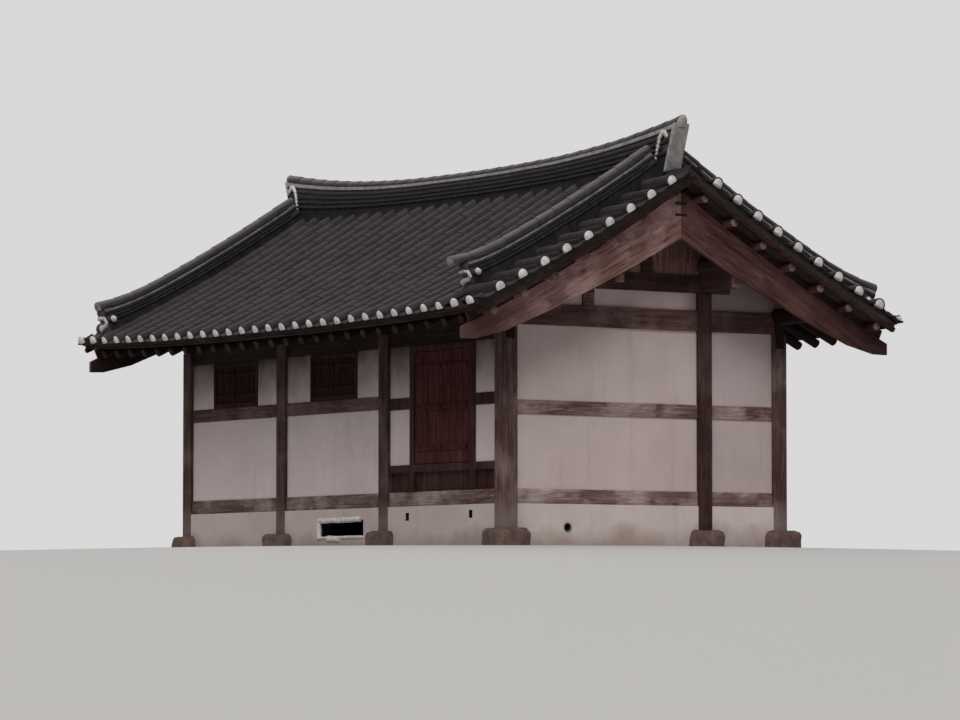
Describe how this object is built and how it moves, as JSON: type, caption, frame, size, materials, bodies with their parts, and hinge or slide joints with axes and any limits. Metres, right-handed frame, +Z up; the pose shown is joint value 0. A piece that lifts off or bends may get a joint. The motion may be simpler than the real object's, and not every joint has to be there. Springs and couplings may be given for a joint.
{
  "type": "hanok house",
  "caption": "Small timber-framed Korean house with a tiled gable roof, white plaster walls, a plank door and shuttered windows.",
  "frame": {"origin": "on the ground under the middle of the house", "axes": "+X along the front towards the door end, -Y out of the front, +Z up"},
  "size_m": [9.032, 5.974, 4.905],
  "materials": {
    "timber": "weathered, matt, with fine cracks along the grain",
    "plaster": "matt lime plaster with faint stains",
    "base_plaster": "matt lime plaster over masonry, stone footings",
    "roof_tile": "matt dark grey fired clay, white lime mortar at the tile ends",
    "door_wood": "aged reddish brown boards",
    "shutter_wood": "aged dark brown boards",
    "floor_mud": "oiled floor paper over mud"
  },
  "bodies": {
    "house": {"front_rafters": "timber", "rear_rafters": "timber", "ridge_purlin": "timber", "front_middle_purlin": "timber", "rear_middle_purlin": "timber", "front_eave_beam": "timber", "rear_eave_beam": "timber", "near_gable_frame": "timber", "far_gable_frame": "timber", "inner_frame_1": "timber", "inner_frame_2": "timber", "front_lower_rail": "timber", "front_middle_rail": "timber", "rear_lower_rail": "timber", "rear_middle_rail": "timber", "near_lower_rail": "timber", "near_middle_rail": "timber", "far_lower_rail": "timber", "far_middle_rail": "timber", "front_post_1": "timber", "front_post_2": "timber", "front_post_3": "timber", "front_post_4": "timber", "rear_post_1": "timber", "rear_post_2": "timber", "rear_post_3": "timber", "rear_post_4": "timber", "near_high_post": "timber", "far_high_post": "timber", "door_frame": "timber", "near_front_bargeboard": "timber", "near_rear_bargeboard": "timber", "far_front_bargeboard": "timber", "far_rear_bargeboard": "timber", "near_gable_top": "plaster", "far_gable_top": "plaster", "front_wall_1": "plaster", "front_wall_2": "plaster", "door_side_wall_left": "plaster", "door_side_wall_right": "plaster", "rear_wall_1": "plaster", "rear_wall_2": "plaster", "rear_wall_3": "plaster", "near_wall_main": "plaster", "near_wall_rear": "plaster", "far_wall_main": "plaster", "far_wall_rear": "plaster", "front_base": "base_plaster", "rear_base": "base_plaster", "near_gable_base": "base_plaster", "far_gable_base": "base_plaster", "front_tile_slope": "roof_tile", "rear_tile_slope": "roof_tile", "roof_ridges": "roof_tile", "window_1": "shutter_wood", "window_2": "shutter_wood", "raised_floor": "floor_mud"},
    "left_door": {"door_leaf_left": "door_wood"},
    "right_door": {"door_leaf_right": "door_wood"}
  },
  "joints": [
    {"name": "left_door_hinge", "type": "hinge", "parent": "house", "child": "left_door", "pos_m": [1.726, -1.934, 0.964], "axis": [0, 0, -1], "range_deg": [0, 90]},
    {"name": "right_door_hinge", "type": "hinge", "parent": "house", "child": "right_door", "pos_m": [2.844, -1.934, 0.964], "axis": [0, 0, 1], "range_deg": [0, 90]}
  ]
}
